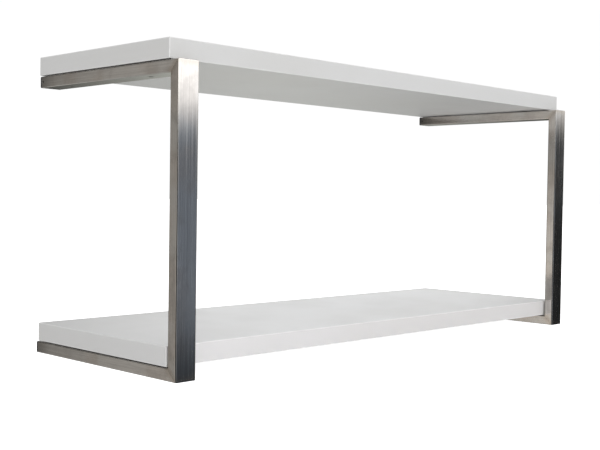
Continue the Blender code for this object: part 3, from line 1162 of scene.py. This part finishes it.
def studio_reflections(tree):
    """What polished metal sees round the table, as a colour for each direction.

    Headings run in degrees from +Y towards +X, and the rise is above the horizon.
    """
    way = tree.nodes.new("ShaderNodeTexCoord").outputs["Generated"]
    parts = add_node(tree, "ShaderNodeSeparateXYZ", {0: way}).outputs
    degrees = 180 / math.pi
    heading = times(tree, maths(tree, "ARCTAN2", parts["X"], parts["Y"]), degrees)
    rise = times(tree, maths(tree, "ARCSINE", parts["Z"]), degrees)

    def by_heading(start, end, low=0.0, high=1.0):
        return ramp(tree, heading, start, end, low, high)

    def by_rise(start, end, low=0.0, high=1.0):
        return ramp(tree, rise, start, end, low, high)

    def card(start, start_full, end_full, end, tone):
        """A card that stands between two headings, with soft sides."""
        sides = times(tree, by_heading(start, start_full), by_heading(end, end_full))
        return times(tree, sides, tone)

    def tinted(tone, colour):
        return blend(tree, 1.0, colour, tone, "MULTIPLY")

    def added(first, *others):
        for other in others:
            first = blend(tree, 1.0, first, other, "ADD")
        return first

    behind = card(-112.0, -96.0, 76.0, 92.0, 1.0)
    # In front, a window of light stands over dark ground, which is darkest to the right.
    darkest = by_rise(-2.5, 1.5, 0.012, 0.045)
    ground = times(
        tree, by_rise(-10.6, -6.0, 0.22, 1.0), by_heading(119.0, 139.0, darkest, 0.21))
    cool = blend(tree, by_heading(121.0, 138.0), (0.95, 1.0, 1.05), (0.86, 0.98, 1.17))
    window = times(tree, by_rise(3.3, 6.7, 0.0, 1.80), by_rise(17.0, 9.5, 0.38, 1.0))
    # A card straight in front crosses the heading of 180 degrees, so it comes in two parts.
    facing = plus(
        tree, card(150.0, 172.0, 181.0, 181.5, 0.34), card(-181.5, -181.0, -174.0, -160.0, 0.34))
    front_tone = added(
        tinted(ground, cool), tinted(facing, (0.98, 1.0, 1.02)), tinted(window, (0.995, 1.0, 1.0)))
    # Behind to the left stand grey cards, and the far one is brighter below the horizon.
    near_card = card(-24.0, -36.0, -38.0, -46.0, 0.36)
    far_card = times(tree, card(-46.0, -64.0, -68.0, -84.0, 1.0), by_rise(3.5, -3.0, 0.32, 0.85))
    side_card = card(-68.0, -84.0, -97.0, -110.0, 0.34)
    middle_card = card(-22.0, -8.0, 12.0, 30.0, 0.24)
    dimmest = 0.04
    grey = plus(tree, near_card, far_card, side_card, middle_card, dimmest)
    # Behind to the right, a white backdrop stands over its own dimmer foot.
    backdrop = times(tree, card(24.0, 42.0, 54.0, 66.0, 1.18), by_rise(-1.5, 1.5))
    foot = times(tree, card(28.0, 43.0, 43.0, 62.0, 0.50), by_rise(1.5, -1.5))
    aside = card(70.0, 84.0, 98.0, 110.0, 0.46)
    overhead = by_rise(30.0, 65.0, 0.0, 1.20)
    behind_tone = added(
        tinted(grey, (1.045, 1.005, 0.945)), tinted(backdrop, (0.99, 1.0, 1.01)),
        tinted(foot, (1.0, 1.03, 0.94)), tinted(overhead, WHITE))
    # Further down, the floor near the table lights its undersides.
    underfoot = by_rise(-12.0, -21.0, 0.0, 0.22)
    return added(
        blend(tree, behind, front_tone, behind_tone), tinted(aside, (1.02, 1.0, 0.97)),
        tinted(underfoot, (1.0, 1.0, 0.98)))


class TABLE_OT_studio(bpy.types.Operator):
    """Set the pale floor, the soft light and the camera"""

    bl_idname = "table.studio"
    bl_label = "Set Studio"

    def execute(self, context):
        chosen = context.scene.table.studio
        context.scene.view_settings.view_transform = "Standard"
        self.add_floor()
        self.add_world(chosen)
        self.add_lights()
        self.add_camera(chosen)
        return {"FINISHED"}

    def add_floor(self):
        reach = 60.0
        shape = bmesh.new()
        bmesh.ops.create_grid(shape, x_segments=8, y_segments=8, size=reach)
        floor = new_object("floor", mesh_of("floor", shape))
        material, tree, shader, place = start_material("pale_floor", 0.0)
        cloud = ramp(tree, noise(tree, place, 0.8, 3.0, 0.5), 0.3, 0.7)
        colour = blend(tree, cloud, (0.86, 0.86, 0.86), (0.84, 0.84, 0.84))
        feed(tree, shader, "Base Color", colour)
        feed(tree, shader, "Roughness", 0.9)
        feed(tree, shader, "Emission Color", (*WHITE, 1.0))
        ray = tree.nodes.new("ShaderNodeLightPath").outputs["Is Camera Ray"]
        feed(tree, shader, "Emission Strength", ray)
        floor.data.materials.append(material)
        floor.visible_glossy = False
        floor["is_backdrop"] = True

    def add_world(self, chosen):
        world = bpy.data.worlds.new("studio")
        bpy.context.scene.world = world
        world.use_nodes = True
        world.cycles.sampling_method = "NONE"
        tree = world.node_tree
        even = tree.nodes["Background"]
        even.inputs["Color"].default_value = (*WHITE, 1.0)
        even.inputs["Strength"].default_value = chosen.fill
        sky_glow = 1.02
        seen = add_node(
            tree, "ShaderNodeBackground", {"Color": (*WHITE, 1.0), "Strength": sky_glow})
        cards = add_node(tree, "ShaderNodeBackground", {"Color": studio_reflections(tree)})
        ray = tree.nodes.new("ShaderNodeLightPath").outputs
        lit = add_node(tree, "ShaderNodeMixShader", {
            0: ray["Is Glossy Ray"], 1: even.outputs[0], 2: cards.outputs[0]})
        shown = add_node(tree, "ShaderNodeMixShader", {
            0: ray["Is Camera Ray"], 1: lit.outputs[0], 2: seen.outputs[0]})
        tree.links.new(shown.outputs[0], tree.nodes["World Output"].inputs["Surface"])

    def add_lights(self):
        table = (0.0, 0.0, 0.3)
        soft_light("front_light", (-0.3, -3.4, 0.35), table, size=(3.0, 0.8), power=16.0)
        # A narrow strip, low and near, lights little but the front of the shelf.
        soft_light(
            "low_light", (0.2, -0.85, 0.045), (0.2, 0.0, 0.03), size=(2.4, 0.06), power=0.45,
            spread=50.0, colour=(1.0, 0.94, 0.99))
        soft_light("corner_light", (-2.4, -2.6, 1.2), table, size=(1.6, 1.6), power=10.0)
        soft_light("left_light", (-3.2, 0.4, 1.4), table, size=(2.4, 1.8), power=5.0)

    def add_camera(self, chosen):
        turn, tilt, roll = chosen.camera_turn, chosen.camera_tilt, chosen.camera_roll
        ahead = Vector((
            math.sin(turn) * math.cos(tilt), math.cos(turn) * math.cos(tilt), math.sin(tilt)))
        level_right = Vector((math.cos(turn), -math.sin(turn), 0.0))
        level_up = level_right.cross(ahead)
        right = level_right * math.cos(roll) + level_up * math.sin(roll)
        up = -level_right * math.sin(roll) + level_up * math.cos(roll)
        data = bpy.data.cameras.new("camera")
        data.sensor_width = 36.0
        data.lens = chosen.lens
        data.clip_start = 0.05
        data.clip_end = 200.0
        camera = bpy.data.objects.new("camera", data)
        bpy.context.scene.collection.objects.link(camera)
        turned_to = Matrix((right, up, -ahead)).transposed().to_4x4()
        camera.matrix_world = Matrix.Translation(chosen.camera_place) @ turned_to
        bpy.context.scene.camera = camera


# ---------------------------------------------------------------------------------------------
# Panel, registration and the run
# ---------------------------------------------------------------------------------------------

MAKERS = (
    TABLE_OT_boards, TABLE_OT_posts, TABLE_OT_arms, TABLE_OT_end_caps,
    TABLE_OT_screws, TABLE_OT_inserts, TABLE_OT_spacers, TABLE_OT_studio,
)
GROUPS = ("boards", "tubes", "caps", "fixings", "studio")


class TABLE_PT_maker(bpy.types.Panel):
    """The table's settings and its makers"""

    bl_label = "Console Table"
    bl_idname = "TABLE_PT_maker"
    bl_space_type = "VIEW_3D"
    bl_region_type = "UI"
    bl_category = "Table"

    def draw(self, context):
        for name in GROUPS:
            group = getattr(context.scene.table, name)
            box = self.layout.box()
            box.label(text=name.title())
            for key in group.__annotations__:
                box.prop(group, key)
        for maker in MAKERS:
            self.layout.operator(maker.bl_idname)


CLASSES = (
    BoardSettings, TubeSettings, CapSettings, FixingSettings, StudioSettings, TableSettings,
    *MAKERS, TABLE_PT_maker,
)


def register():
    for item in CLASSES:
        bpy.utils.register_class(item)
    bpy.types.Scene.table = PointerProperty(type=TableSettings)


def unregister():
    del bpy.types.Scene.table
    for item in reversed(CLASSES):
        bpy.utils.unregister_class(item)


def main():
    register()
    for maker in MAKERS:
        make = getattr(bpy.ops.table, maker.bl_idname.split(".")[1])
        make()
    boxes = {"cad": CAD_BOX, "visual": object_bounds()}
    lines = {name: [list(corner) for corner in box] for name, box in boxes.items()}


if __name__ == "__main__":
    main()
